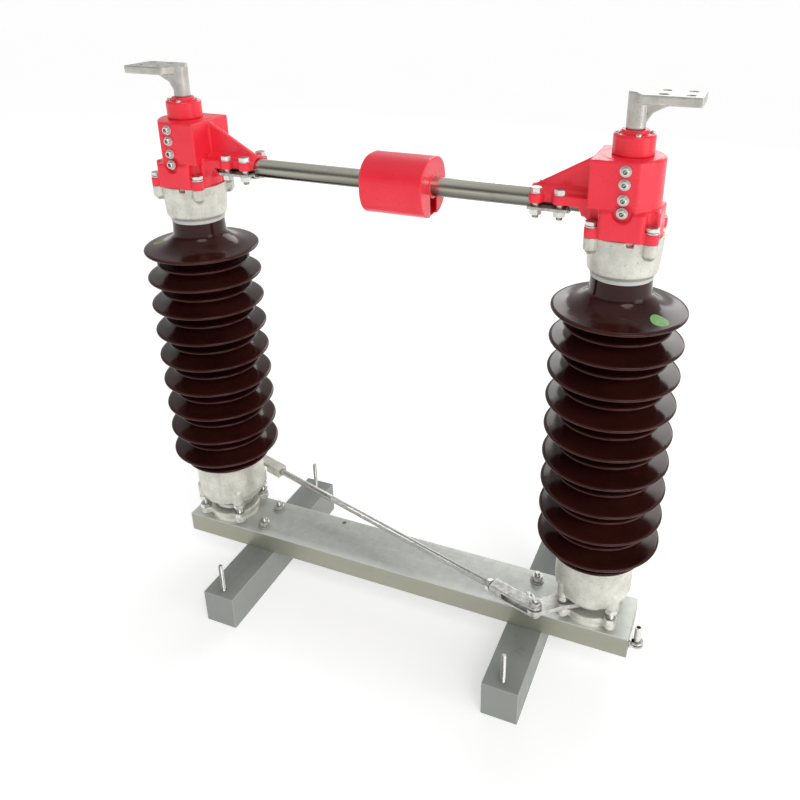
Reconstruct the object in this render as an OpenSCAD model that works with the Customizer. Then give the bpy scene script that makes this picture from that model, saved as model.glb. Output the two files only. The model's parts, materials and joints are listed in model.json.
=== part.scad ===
// Two-post, centre-break disconnect switch for a 35 kV class substation.
// Two rotating porcelain posts stand on a galvanised channel and carry contact arms
// that meet under a rain cover at mid-span. A crossed rod couples the two posts.
// X runs along the channel, Y to the back, Z up. Z = 0 is the ground under the supports.

/* [Node] */
// which piece to show, or all of them

/* [Base channel] */
// distance between the two post axes
post_spacing = 700; // [500:10:900]
// how far the channel runs on beyond each post axis
beam_overhang = 71; // [60:1:150]
// channel width
beam_w = 96; // [80:1:140]
// channel height
beam_h = 38; // [25:1:60]
// channel wall
beam_wall = 6; // [3:0.5:8]
// diameter of the spare holes in the channel
spare_hole_d = 8; // [5:0.5:14]
// rear spare hole, left of mid-span
spare_left_x = 131; // [60:1:180]
// front spare hole, right of mid-span
spare_right_x = 187; // [60:1:200]

/* [Cross supports] */
// support width
sup_w = 60; // [40:1:100]
// support height
sup_h = 64; // [40:1:100]
// support length, front to back
sup_len = 360; // [250:10:600]
// support wall
sup_wall = 4; // [2:0.5:8]
// the left support stands this far inside the left post axis
sup_left_inset = 83; // [82:1:150]
// the right support stands this far inside the right post axis
sup_right_inset = 98; // [82:1:150]
// support stud diameter
stud_d = 8; // [6:1:16]
// how much wider a support stud's neck is in the support's wall
stud_neck = 0.4; // [0.2:0.1:1]
// support stud height above the support
stud_h = 54; // [30:1:90]
// distance of a support stud from the end of the support
stud_inset = 18; // [14:1:40]
// base bolt diameter
base_bolt_d = 10; // [8:1:16]
// base bolts lie this far to the front and back of the channel's centre
base_bolt_y = 26; // [15:1:34]
// height of a base bolt above the channel
base_bolt_h = 18; // [14:1:22]

// radius of the earthing lug's round end
earth_lug_r = 10.5; // [9:0.5:18]
// the earthing bolt stands this far beyond the channel's end
earth_x = 12; // [11:1:30]

/* [Turning seats] */
// radius of the fixed bearing flange
seat_r = 44; // [38:1:47]
// thickness of the fixed bearing flange
seat_t = 8; // [6:1:12]
// spindle radius
spindle_r = 20; // [14:1:24]
// turntable radius between its lugs
table_r = 47; // [40:1:60]
// turntable thickness
table_t = 11.5; // [8:0.5:16]
// air between the turntable and the fixed flange
table_gap = 0.5; // [0.3:0.1:0.8]
// pitch radius of the flange bolts, top and bottom
flange_bolt_r = 55; // [50:1:60]
// diameter of the lower flange studs
flange_stud_d = 12; // [8:1:14]

/* [Cross link] */
// height of the rod's centre above the channel
rod_lift = 33; // [31:0.5:36]
// rod diameter
rod_d = 12; // [8:1:14]
// left crank pin, to the right of the left axis
left_pin_x = -14.5; // [-30:0.5:10]
// left crank pin, behind the left axis
left_pin_y = 113.3; // [100:0.1:125]
// right crank pin, to the right of the right axis
right_pin_x = -76; // [-85:0.5:-65]
// right crank pin, behind the right axis
right_pin_y = -72; // [-80:0.5:-60]
// crank plate thickness
crank_t = 8; // [6:0.5:10]
// radius of a crank's tip
crank_tip_r = 13; // [10:1:18]
// outer height of the fork
fork_h = 19; // [17:0.5:20]
// half width of the fork
fork_w = 11; // [9:1:13]
// fork length from the pin to the rod
fork_len = 82; // [60:1:110]
// clevis pin diameter
link_pin_d = 10; // [8:1:12]

/* [Porcelain posts] */
// height of the lower flange's foot above the channel
foot_lift = 48; // [40:1:60]
// lower flange height
low_flange_h = 76; // [60:1:100]
// lower flange radius
low_flange_r = 61; // [55:1:70]
// porcelain height between the two flanges
porcelain_h = 475; // [400:1:600]
// number of large sheds
shed_n = 9; // [5:1:12]
// large shed radius
shed_r = 94; // [80:1:120]
// small shed radius
shed_small_r = 76; // [60:1:90]
// height of the lowest small rim above the lower flange
shed_last = 11.3; // [8:0.1:40]
// distance from the top of the porcelain down to the first rim
shed_first = 54; // [45:0.5:70]
// rim thickness of a shed
shed_rim = 5; // [4:0.5:8]
// core radius at the top
core_top_r = 42; // [35:0.5:50]
// core radius at the foot
core_foot_r = 54; // [45:0.5:58]
// upper flange height
up_flange_h = 56; // [45:1:70]
// upper flange radius at its top
up_flange_r = 52; // [45:1:60]

/* [Heads] */
// thickness of the head's foot flange
head_flange_t = 14; // [10:1:20]
// housing radius
house_r = 43; // [36:1:46]
// housing height above the foot of the head
house_h = 104; // [90:1:130]
// wall of the head casting
house_wall = 8; // [5:0.5:12]
// head bolt diameter
head_bolt_d = 10; // [8:1:12]
// tube centre above the foot of the head
tube_lift = 34; // [30:1:45]
// reach of the arm from the post axis
arm_reach = 130; // [110:1:160]
// thickness of the arm's web
web_t = 10; // [6:1:16]
// clamp bolts stand this far out from the tube's surface
clamp_out = 8; // [6:0.5:12]
// distance between the two rows of clamp bolts
clamp_pitch = 33; // [26:1:40]
// rotor cap radius
cap_r = 27; // [20:1:34]
// rotor cap height
cap_h = 27; // [18:1:40]

/* [Contact arms] */
// contact tube diameter
tube_d = 28; // [24:1:34]
// contact tube wall
tube_wall = 3; // [2:0.5:4]
// the left tube ends this far left of mid-span
left_tube_gap = 8; // [4:1:20]
// the right tube ends this far right of mid-span
right_tube_gap = 44; // [40:1:60]
// the blade reaches this far right of mid-span
blade_reach = 27; // [20:1:30]
// blade thickness
blade_t = 8; // [6:0.5:12]
// blade width
blade_w = 20; // [14:1:24]
// air between the blade and each jaw
jaw_gap = 0.3; // [0.2:0.1:0.6]

/* [Rain cover] */
// left end of the cover, left of mid-span
cover_left = 23; // [20:1:30]
// cover length
cover_len = 97; // [90:1:120]
// cover height
cover_h = 86; // [80:1:110]
// cover depth, front to back
cover_w = 94; // [84:1:110]
// cover wall
cover_wall = 2.5; // [1.5:0.5:4]

/* [Terminals] */
// stem radius
stem_r = 12.5; // [10:0.5:16]
// height of the pad's top above the rotor cap
pad_lift = 52; // [40:1:70]
// pad thickness
pad_t = 12; // [8:1:16]
// pad reach outward from the post axis
pad_reach = 80; // [70:1:110]
// pad width
pad_w = 62; // [50:1:80]
// pad hole diameter
pad_hole_d = 12; // [9:0.5:14]
// distance between pad holes
pad_hole_pitch = 32; // [28:1:40]

/* [Hidden] */
$fn = 48;
eps = 0.01;
fit = 0.15; // radial air where one fixed piece sits in another
run_fit = 0.05; // radial air of a turning fit
half_span = post_spacing / 2;
beam_len = post_spacing + 2 * beam_overhang;
sup_left_x = half_span - sup_left_inset;
sup_right_x = half_span - sup_right_inset;
beam_top = sup_h + beam_h;
seat_top = beam_top + seat_t;
table_bot = seat_top + table_gap;
table_top = table_bot + table_t;
rod_z = beam_top + rod_lift;
foot_z = beam_top + foot_lift;
porc_z = foot_z + low_flange_h;
porc_top = porc_z + porcelain_h;
head_z = porc_top + up_flange_h;
tube_z = head_z + tube_lift;
tube_r = tube_d / 2;
clamp_y = tube_r + clamp_out;
shed_pitch = (porcelain_h - shed_first - shed_last) / (shed_n - 0.5);
house_top = head_z + house_h;
cap_top = house_top + cap_h;
collar_h = 5.5;
collar_top = cap_top + collar_h;
pad_top = cap_top + pad_lift;
bolt_xy = flange_bolt_r / sqrt(2);
lug_r = head_bolt_d * 0.95; // flange lugs and bosses are as wide as a bolt's spot-face
socket_depth = 20; // how deep the porcelain stands in each flange
socket_air = 0.2;
shaft_r = 11; // the terminal's shaft inside the head
crank_air = 1.5; // air between the left crank and the rod's eye above it
left_crank_top = rod_z + 2 - crank_air;
right_crank_top = rod_z + crank_t / 2;
hub_r = 30;
rod_angle = atan2(half_span + right_pin_y - half_span - left_pin_y,
                  post_spacing + right_pin_x - left_pin_x);
rod_span = sqrt(pow(post_spacing + right_pin_x - left_pin_x, 2) + pow(right_pin_y - left_pin_y, 2));
row_a = arm_reach - 11;
row_b = row_a - clamp_pitch;
saddle_t = 13;
strap_t = 4;
strap_top = tube_z - 5;
cover_mid_z = tube_z - 1.5;
cover_bot = cover_mid_z - cover_h / 2;

BASE = "#a9b0a8";
PAINT = "#848a86";
ZINC = "#d8dad6";
CAST = "#cfcdc4";
RED = "#e8394b";
PORC = "#3a1513";
TUBE = "#b9b6a6";
ALU = "#a4a39d";
COPPER = "#b87a4a";

// ---------- helpers ----------

// a hexagon bar, measured across its flats
module hex(af, h) cylinder(d = af / cos(30), h = h, $fn = 6);

// moves its children onto a post axis; side is -1 on the left, 1 on the right
module at_post(side) translate([side * half_span, 0, 0]) children();

// a left-hand piece: on the right post it is turned half way round
module handed(side) at_post(side) rotate([0, 0, side > 0 ? 180 : 0]) children();

// inside handed(): turns a front detail back to the front on the right post
module front_of(side) rotate([0, 0, side > 0 ? 180 : 0]) children();

// a copy at each of the four flange bolts
module at_corners(r)
  for (a = [45:90:315]) rotate([0, 0, a]) translate([r, 0, 0]) children();

// a cylinder along X
module xrod(r, x0, x1) translate([x0, 0, 0]) rotate([0, 90, 0]) cylinder(r = r, h = x1 - x0);

// points of an arc in a plane
function arc(cx, cy, r, a0, a1, n) =
  [for (i = [0:n]) [cx + r * cos(a0 + (a1 - a0) * i / n), cy + r * sin(a0 + (a1 - a0) * i / n)]];

// ---------- base ----------

module base_beam() color(BASE) {
  difference() {
    translate([-beam_len / 2, -beam_w / 2, sup_h]) cube([beam_len, beam_w, beam_h]);
    translate([-beam_len / 2 + beam_wall, -beam_w / 2 + beam_wall, sup_h - 1])
      cube([beam_len - 2 * beam_wall, beam_w - 2 * beam_wall, beam_h - beam_wall + 1]);
    for (side = [-1, 1]) at_post(side)
      translate([0, 0, sup_h]) cylinder(r = spindle_r + 12 + fit, h = beam_h + 1);
    for (x = [-sup_left_x, sup_right_x], y = [-base_bolt_y, base_bolt_y])
      translate([x, y, sup_h]) cylinder(r = base_bolt_d / 2 + fit, h = beam_h + 1);
    translate([-spare_left_x, beam_w / 2 - 11, sup_h]) cylinder(d = spare_hole_d, h = beam_h + 1);
    translate([spare_right_x, -beam_w / 2 + 28, sup_h]) cylinder(d = spare_hole_d, h = beam_h + 1);
  }
}

module support(x) color(PAINT) {
  difference() {
    translate([x - sup_w / 2, -sup_len / 2, 0]) cube([sup_w, sup_len, sup_h]);
    translate([x - sup_w / 2 + sup_wall, -sup_len / 2 + sup_wall, sup_wall])
      cube([sup_w - 2 * sup_wall, sup_len - 2 * sup_wall, sup_h - 2 * sup_wall]);
    translate([x, 0, -1]) cylinder(d = 20, h = sup_wall + 2);
    for (y = [-base_bolt_y, base_bolt_y])
      translate([x, y, sup_h / 2]) cylinder(r = base_bolt_d / 2 + fit, h = sup_h);
    for (y = [-1, 1])
      translate([x, y * (sup_len / 2 - stud_inset), sup_h / 2]) cylinder(r = stud_d / 2 + stud_neck + fit, h = sup_h);
  }
}

module left_support() support(-sup_left_x);
module right_support() support(sup_right_x);

// studs at both ends of a support, with a head under its top wall
module support_studs(x) color(ZINC) {
  for (y = [-1, 1]) translate([x, y * (sup_len / 2 - stud_inset), 0]) {
    translate([0, 0, sup_h - sup_wall - 6]) hex(stud_d * 1.6, 6);
    translate([0, 0, sup_h - sup_wall - 1]) cylinder(d = stud_d + 2 * stud_neck, h = sup_wall + 1);
    translate([0, 0, sup_h - eps]) cylinder(d = stud_d, h = stud_h + eps);
  }
}

module left_support_studs() support_studs(-sup_left_x);
module right_support_studs() support_studs(sup_right_x);

// bolts that hold the channel down on a support
module base_bolts(x) color(ZINC) {
  for (y = [-base_bolt_y, base_bolt_y]) translate([x, y, 0]) {
    translate([0, 0, sup_h - sup_wall - 7]) hex(base_bolt_d * 1.6, 7);
    translate([0, 0, sup_h - sup_wall - 1]) cylinder(d = base_bolt_d, h = sup_wall + 1 + beam_h + base_bolt_h);
    translate([0, 0, beam_top]) cylinder(d = base_bolt_d * 2.4, h = 2.5);
    translate([0, 0, beam_top + 2]) hex(base_bolt_d * 1.7, 8.5);
  }
}

module left_base_bolts() base_bolts(-sup_left_x);
module right_base_bolts() base_bolts(sup_right_x);

// fixed bearing: a flange on the channel and a neck through it
module bearing(side) color(CAST) at_post(side) {
  difference() {
    union() {
      translate([0, 0, beam_top]) cylinder(r = seat_r, h = seat_t);
      translate([0, 0, sup_h + 8]) cylinder(r = spindle_r + 12, h = beam_h + seat_t - 8);
    }
    translate([0, 0, sup_h]) cylinder(r = spindle_r + run_fit, h = beam_h + seat_t + 1);
  }
}

module left_bearing() bearing(-1);
module right_bearing() bearing(1);

// earthing lug on the right end plate, with its upright bolt
module earth_terminal() color(ZINC) {
  lug_z = sup_h + 12;
  lug_y = -beam_w / 2 + 22;
  lug_w = 2 * earth_lug_r;
  translate([beam_len / 2, lug_y - earth_lug_r, lug_z]) cube([earth_x, lug_w, 4]);
  translate([beam_len / 2, lug_y - earth_lug_r, lug_z]) cube([4, lug_w, 16]);
  translate([beam_len / 2 + earth_x, lug_y, lug_z]) cylinder(r = earth_lug_r, h = 4);
  translate([beam_len / 2 + earth_x, lug_y, lug_z + 3]) cylinder(r = 5.5, h = 34);
  translate([beam_len / 2 + earth_x, lug_y, lug_z + 3.5]) hex(16, 8);
}

// ---------- rotating foot of a post ----------

module turntable(side) color(CAST) at_post(side) {
  cylinder_z = sup_h + 6;
  translate([0, 0, cylinder_z]) cylinder(r = spindle_r, h = table_bot - cylinder_z + 1);
  translate([0, 0, table_bot]) cylinder(r = table_r, h = table_t);
  at_corners(flange_bolt_r) translate([0, 0, table_bot]) cylinder(r = lug_r, h = table_t);
  for (a = [45:90:315]) rotate([0, 0, a])
    translate([0, -lug_r, table_bot]) cube([flange_bolt_r, 2 * lug_r, table_t]);
}

module left_turntable() turntable(-1);
module right_turntable() turntable(1);

// crank: a hub between turntable and flange, with a flat arm to the pin
module crank(side, px, py, top) color(ZINC) at_post(side) {
  reach = sqrt(px * px + py * py);
  ang = atan2(py, px);
  difference() {
    union() {
      translate([0, 0, table_top]) cylinder(r = hub_r, h = foot_z - table_top);
      rotate([0, 0, ang]) translate([0, 0, top - crank_t]) {
        cylinder(r = hub_r + 8, h = crank_t);
        linear_extrude(crank_t)
          polygon([[0, -hub_r + 4], [reach * 0.6, -crank_tip_r - 2], [reach, -crank_tip_r],
                   [reach, crank_tip_r], [reach * 0.6, crank_tip_r + 2], [0, hub_r - 4]]);
        translate([reach, 0, 0]) cylinder(r = crank_tip_r, h = crank_t);
      }
    }
    at_corners(flange_bolt_r) translate([0, 0, table_top]) cylinder(d = flange_stud_d + 2, h = 60);
    if (side > 0)
      rotate([0, 0, ang]) translate([reach, 0, top - crank_t - 1])
        cylinder(d = link_pin_d + 2 * fit, h = crank_t + 2);
  }
}

module left_crank() crank(-1, left_pin_x, left_pin_y, left_crank_top);
module right_crank() crank(1, right_pin_x, right_pin_y, right_crank_top);

// studs between the turntable and the lower flange, with a nut at each end
module flange_studs(side) color(ZINC) at_post(side) {
  nut_h = 8.5;
  at_corners(flange_bolt_r) {
    translate([0, 0, table_top]) cylinder(d = flange_stud_d, h = foot_z - table_top);
    translate([0, 0, table_top]) hex(flange_stud_d * 1.5, min(nut_h, right_crank_top - crank_t - table_top));
    translate([0, 0, foot_z - nut_h]) hex(flange_stud_d * 1.5, nut_h);
  }
}

module left_flange_studs() flange_studs(-1);
module right_flange_studs() flange_studs(1);

// ---------- porcelain post ----------

// cast cup under the porcelain: chamfered foot, four bosses
module lower_flange(side) color(CAST) at_post(side) {
  difference() {
    union() {
      translate([0, 0, foot_z]) cylinder(r1 = low_flange_r - 6, r2 = low_flange_r, h = 15);
      translate([0, 0, foot_z + 15 - eps]) cylinder(r = low_flange_r, h = low_flange_h - 15 + eps);
      at_corners(flange_bolt_r) translate([0, 0, foot_z]) cylinder(r = lug_r, h = 26);
      at_corners(flange_bolt_r) translate([0, 0, foot_z + 26 - eps]) cylinder(r1 = lug_r, r2 = 3, h = 7);
    }
    translate([0, 0, porc_z - socket_depth]) cylinder(r = core_foot_r + socket_air, h = socket_depth + 1);
  }
}

module left_lower_flange() lower_flange(-1);
module right_lower_flange() lower_flange(1);

// outline of one shed below its root on the core: hollow upper slope, round rim, drip edge
function shed(z, core, r) = let (d = r - core) concat(
  [[core, z + d * 0.42 + shed_rim * 0.7], [core + d * 0.18, z + d * 0.30], [core + d * 0.4, z + d * 0.165]],
  arc(r - shed_rim / 2, z, shed_rim / 2, 70, -90, 4),
  [[core + 4, z - shed_rim / 2 + (r - core) * 0.06], [core, z - shed_rim / 2 - 2]]);

function core_r(z) = core_top_r + (core_foot_r - 4 - core_top_r) * (porc_top - z) / porcelain_h;

function shed_z(i) = porc_top - shed_first - i * shed_pitch;

module insulator(side) color(PORC) at_post(side) {
  rows = [for (i = [0:shed_n - 1]) each concat(
    shed(shed_z(i), core_r(shed_z(i)), shed_r),
    shed(shed_z(i) - shed_pitch / 2, core_r(shed_z(i) - shed_pitch / 2), shed_small_r))];
  rotate_extrude() polygon(concat(
    [[0, porc_top + socket_depth], [core_top_r, porc_top + socket_depth], [core_top_r, porc_top - 3]],
    rows,
    [[core_foot_r, porc_z + 5], [core_foot_r, porc_z - socket_depth], [0, porc_z - socket_depth]]));
}

module left_insulator() insulator(-1);
module right_insulator() insulator(1);

// cast cup on the porcelain: chamfered mouth, four bosses with round undersides
module upper_flange(side) color(CAST) at_post(side) {
  difference() {
    union() {
      translate([0, 0, porc_top]) cylinder(r1 = up_flange_r - 8, r2 = up_flange_r - 4, h = 6);
      translate([0, 0, porc_top + 6 - eps])
        cylinder(r1 = up_flange_r - 4, r2 = up_flange_r, h = up_flange_h - 6 + eps);
      at_corners(flange_bolt_r) translate([0, 0, head_z - 16]) cylinder(r = lug_r, h = 16);
      at_corners(flange_bolt_r) translate([0, 0, head_z - 23]) cylinder(r1 = 4, r2 = lug_r, h = 7 + eps);
    }
    translate([0, 0, porc_top - 1]) cylinder(r = core_top_r + socket_air, h = socket_depth + 1);
    at_corners(flange_bolt_r) translate([0, 0, head_z - 14]) cylinder(r = head_bolt_d / 2 + fit, h = 20);
    // drain slot in its upper edge
    rotate([0, 0, 16]) translate([-5, -up_flange_r - 1, head_z - 6]) cube([10, 8, 7]);
  }
}

module left_upper_flange() upper_flange(-1);
module right_upper_flange() upper_flange(1);

// ---------- heads ----------

// red head casting; its arm points along +X
module head(side) color(RED) handed(side) {
  skirt_top = house_bolt_z[0];
  house_flat = 17;
  pad_y = house_r + 3;
  // where the housing's flat front runs into its round side
  turn_in = atan2(pad_y, house_flat) - acos(house_r / norm([pad_y, house_flat]));
  difference() {
    union() {
      // foot flange with four lugs
      rotate([0, 0, 45]) translate([0, 0, head_z]) cylinder(r = house_r + 5, h = head_flange_t);
      at_corners(flange_bolt_r) translate([0, 0, head_z]) cylinder(r = lug_r, h = head_flange_t);
      for (a = [45:90:315]) rotate([0, 0, a])
        translate([0, -lug_r, head_z]) cube([flange_bolt_r, 2 * lug_r, head_flange_t]);
      // skirt with flat front and back
      translate([0, 0, head_z]) linear_extrude(skirt_top - head_z)
        polygon([[-26, -50], [26, -50], [46, -28], [46, 28], [26, 50], [-26, 50], [-46, 28], [-46, -28]]);
      // housing
      translate([0, 0, head_z]) cylinder(r = house_r, h = house_h - 3);
      translate([0, 0, house_top - 3 - eps]) cylinder(r1 = house_r, r2 = house_r - 3, h = 3 + eps);
      // its flat front and back, square on the arm's side
      translate([0, 0, skirt_top]) linear_extrude(house_top - 1 - skirt_top)
        polygon([[-house_flat, -pad_y], [pad_y, -pad_y], [pad_y, pad_y], [-house_flat, pad_y],
                 [-house_r * cos(turn_in), house_r * sin(turn_in)],
                 [-house_r * cos(turn_in), -house_r * sin(turn_in)]]);
      for (s = [-1, 1]) translate([-house_flat, s > 0 ? 30 : -pad_y, head_z + 24])
        cube([2 * house_flat, pad_y - 30, skirt_top - head_z - 23]);
      // root of the arm under the web
      translate([0, 28, 0]) rotate([90, 0, 0]) linear_extrude(56)
        polygon([[30, head_z + 14], [42, head_z + 15], [50, head_z + 20], [58, tube_z - 5],
                 [row_b - 8, tube_z], [row_b - 8, tube_z + saddle_t], [30, tube_z + saddle_t]]);
      // web
      translate([0, web_t / 2, 0]) rotate([90, 0, 0]) linear_extrude(web_t)
        polygon([[30, house_top - 3], [house_r + 3, house_top - 5], [row_a + 4, tube_z + 21],
                 [arm_reach, tube_z + saddle_t], [arm_reach, tube_z + 4], [30, tube_z + 4]]);
      // saddle over the tube, with a lug for each clamp bolt
      translate([0, 0, tube_z]) xrod(tube_r + 6, 40, arm_reach);
      for (x = [row_b, row_a], s = [-1, 1]) {
        translate([x, s * clamp_y, tube_z]) cylinder(r = 10, h = saddle_t);
        translate([x - 10, s > 0 ? 0 : -clamp_y, tube_z]) cube([20, clamp_y, saddle_t]);
      }
      translate([row_b - 9, -tube_r - 5, tube_z]) cube([arm_reach - row_b + 9, 2 * tube_r + 10, saddle_t]);
    }
    // the tube's seat
    translate([0, 0, tube_z]) xrod(tube_r + fit, 49, arm_reach + 30);
    translate([60, -60, tube_z - 30]) cube([120, 120, 30]);
    // hollow body, open below
    translate([0, 0, head_z - 1]) difference() {
      cylinder(r = house_r - house_wall, h = house_h - house_wall + 1);
      cylinder(r = shaft_r + 8, h = house_h);
    }
    translate([0, 0, head_z - 1]) cylinder(r = house_r - house_wall, h = 24);
    translate([0, 0, head_z]) cylinder(r = shaft_r + run_fit, h = house_h + 1);
    // notch in the skirt under the lowest front bolt
    front_of(side) translate([0, -house_r - 1, skirt_top]) rotate([90, 0, 0]) cylinder(r = 13, h = 20);
    // bolt holes
    at_corners(flange_bolt_r) translate([0, 0, head_z - 1]) cylinder(r = head_bolt_d / 2 + fit, h = 60);
    at_corners(flange_bolt_r) translate([0, 0, head_z + head_flange_t])
      cylinder(r = lug_r, h = skirt_top + 1 - head_z - head_flange_t);
    for (x = [row_b, row_a], s = [-1, 1]) translate([x, s * clamp_y, 0]) {
      translate([0, 0, tube_z - 1]) cylinder(r = 5 + fit, h = 30);
      translate([0, 0, tube_z + saddle_t]) cylinder(r = 9.4, h = 20);
    }
    for (z = house_bolt_z)
      front_of(side) translate([0, -house_r - 5, z]) rotate([-90, 0, 0]) cylinder(r = 4 + fit, h = 18);
  }
}

// heights of the four bolts in the front of the housing
house_bolt_z = [for (k = [38, 55, 75, 92]) head_z + house_h * k / 104];

module left_head() head(-1);
module right_head() head(1);

// four bolts down into the upper flange and four in the front of the housing
module head_bolts(side) color(ZINC) handed(side) {
  at_corners(flange_bolt_r) {
    translate([0, 0, head_z - 12]) cylinder(d = head_bolt_d, h = 12 + head_flange_t + 1);
    translate([0, 0, head_z + head_flange_t]) cylinder(d = head_bolt_d * 1.8, h = 2);
    translate([0, 0, head_z + head_flange_t + 1.5]) hex(head_bolt_d * 1.6, 6.5);
  }
  front_of(side) for (z = house_bolt_z) translate([0, -house_r - 3, z]) rotate([90, 0, 0]) {
    translate([0, 0, -11]) cylinder(r = 4, h = 12);
    cylinder(r = 7.5, h = 1.6);
    translate([0, 0, 1]) hex(13, 5.5);
  }
}

module left_head_bolts() head_bolts(-1);
module right_head_bolts() head_bolts(1);

// cap that closes the housing round the terminal's shaft
module rotor_cap(side) color(RED) at_post(side) {
  difference() {
    union() {
      translate([0, 0, house_top]) cylinder(r = cap_r, h = cap_h - 2);
      translate([0, 0, cap_top - 2 - eps]) cylinder(r1 = cap_r, r2 = cap_r - 2, h = 2 + eps);
      translate([0, 0, cap_top - 1]) cylinder(r = stem_r + 5, h = collar_h + 0.5);
    }
    translate([0, 0, house_top - 1]) cylinder(r = shaft_r + 0.5, h = cap_h + collar_h + 5);
    for (a = [20:90:290]) rotate([0, 0, a])
      translate([cap_r - 5, 0, cap_top - 8]) cylinder(r = 2 + fit, h = 20);
  }
}

module left_rotor_cap() rotor_cap(-1);
module right_rotor_cap() rotor_cap(1);

module cap_screws(side) color(ZINC) at_post(side) {
  for (a = [20:90:290]) rotate([0, 0, a]) translate([cap_r - 5, 0, 0]) {
    translate([0, 0, cap_top - 7]) cylinder(r = 2, h = 8);
    translate([0, 0, cap_top]) cylinder(r = 3.6, h = 3);
  }
}

module left_cap_screws() cap_screws(-1);
module right_cap_screws() cap_screws(1);

// ---------- contact arms ----------

module contact_tube(len) color(TUBE) {
  difference() {
    translate([0, 0, tube_z]) xrod(tube_r, 50, len);
    translate([0, 0, tube_z]) xrod(tube_r - tube_wall, 49, len + 1);
  }
}

module left_tube() handed(-1) contact_tube(half_span - left_tube_gap);
module right_tube() handed(1) contact_tube(half_span - right_tube_gap);

// strap under the tube: two flat wings and a belly
module tube_clamp(side) color(ZINC) handed(side) {
  x0 = row_b - 10;
  x1 = row_a + 10;
  difference() {
    union() {
      translate([0, 0, tube_z]) xrod(tube_r + strap_t, x0, x1);
      translate([x0, -clamp_y - 9, strap_top - strap_t]) cube([x1 - x0, 2 * clamp_y + 18, strap_t]);
    }
    translate([0, 0, tube_z]) xrod(tube_r + fit, x0 - 1, x1 + 1);
    translate([x0 - 1, -40, strap_top]) cube([x1 - x0 + 2, 80, 40]);
    for (x = [row_b, row_a], s = [-1, 1]) translate([x, s * clamp_y, 0]) {
      translate([0, 0, strap_top - 10]) cylinder(r = 5 + fit, h = 20);
      translate([0, 0, strap_top - strap_t - 30]) cylinder(r = 9.2, h = 30);
    }
  }
}

module left_tube_clamp() tube_clamp(-1);
module right_tube_clamp() tube_clamp(1);

module clamp_bolts(side) color(ZINC) handed(side) {
  for (x = [row_b, row_a], s = [-1, 1]) translate([x, s * clamp_y, 0]) {
    translate([0, 0, strap_top - strap_t - 13]) cylinder(r = 5, h = tube_z + saddle_t - strap_top + strap_t + 14);
    translate([0, 0, tube_z + saddle_t]) cylinder(r = 8.6, h = 1.6);
    translate([0, 0, tube_z + saddle_t + 1]) hex(15, 6.5);
    translate([0, 0, strap_top - strap_t - 8]) hex(15, 8);
  }
}

module left_clamp_bolts() clamp_bolts(-1);
module right_clamp_bolts() clamp_bolts(1);

// flat blade with a plug in the end of the left tube
module contact_blade() color(COPPER) {
  x0 = -left_tube_gap;
  translate([0, 0, tube_z]) xrod(tube_r - tube_wall - fit, x0 - 30, x0 + 1);
  translate([x0, -blade_w / 2, tube_z - blade_t / 2]) cube([blade_reach - x0 - blade_w / 2, blade_w, blade_t]);
  translate([blade_reach - blade_w / 2, 0, tube_z - blade_t / 2]) cylinder(r = blade_w / 2, h = blade_t);
}

// two jaws above and below the blade, on a block in the end of the right tube
module contact_fingers() color(COPPER) {
  x1 = right_tube_gap;
  half = blade_t / 2 + jaw_gap;
  translate([0, 0, tube_z]) xrod(tube_r - tube_wall - fit, x1 - 1, x1 + 30);
  translate([x1 - 7, -11, tube_z - 12]) cube([7, 22, 24]);
  for (s = [-1, 1])
    translate([2, -10, s > 0 ? tube_z + half : tube_z - half - 4]) cube([x1 - 4, 20, 4]);
}

// the cover's cross-section, a squarish oval; inset thins it by the wall
function cover_outline(inset) = [for (i = [0:47]) let (a = 7.5 * i + 3.75, c = cos(a), s = sin(a))
  [(cover_w / 2 - inset) * sign(c) * pow(abs(c), 0.8),
   cover_mid_z + (cover_h / 2 - inset) * sign(s) * pow(abs(s), 0.8)]];

module cover_block(inset, x0, x1) translate([x0, 0, 0]) rotate([90, 0, 90])
  linear_extrude(x1 - x0) polygon(cover_outline(inset));

// barrel over the contact: open at the left for the blade, closed round the right tube
module contact_cover() color(RED) {
  x0 = -cover_left;
  x1 = cover_len - cover_left;
  lip = 6;
  difference() {
    cover_block(0, x0, x1);
    cover_block(cover_wall, x0 + lip, x1 - cover_wall);
    cover_block(cover_wall + 2, x0 - 1, x0 + lip + 1);
    // tube hole and drop slot in the right end
    translate([0, 0, tube_z]) xrod(tube_r + fit, x1 - cover_wall - 1, x1 + 1);
    translate([x1 - cover_wall - 1, 2 - tube_r, cover_bot - 1])
      cube([cover_wall + 2, 2 * tube_r - 4, tube_z - cover_bot + 1]);
  }
  // collar that sits on the tube
  difference() {
    translate([0, 0, tube_z]) xrod(tube_r + 3, x1 - cover_wall - 14, x1 - cover_wall + eps);
    translate([0, 0, tube_z]) xrod(tube_r + fit, x1 - cover_wall - 15, x1 + 1);
  }
}

// ---------- terminals ----------

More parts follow.
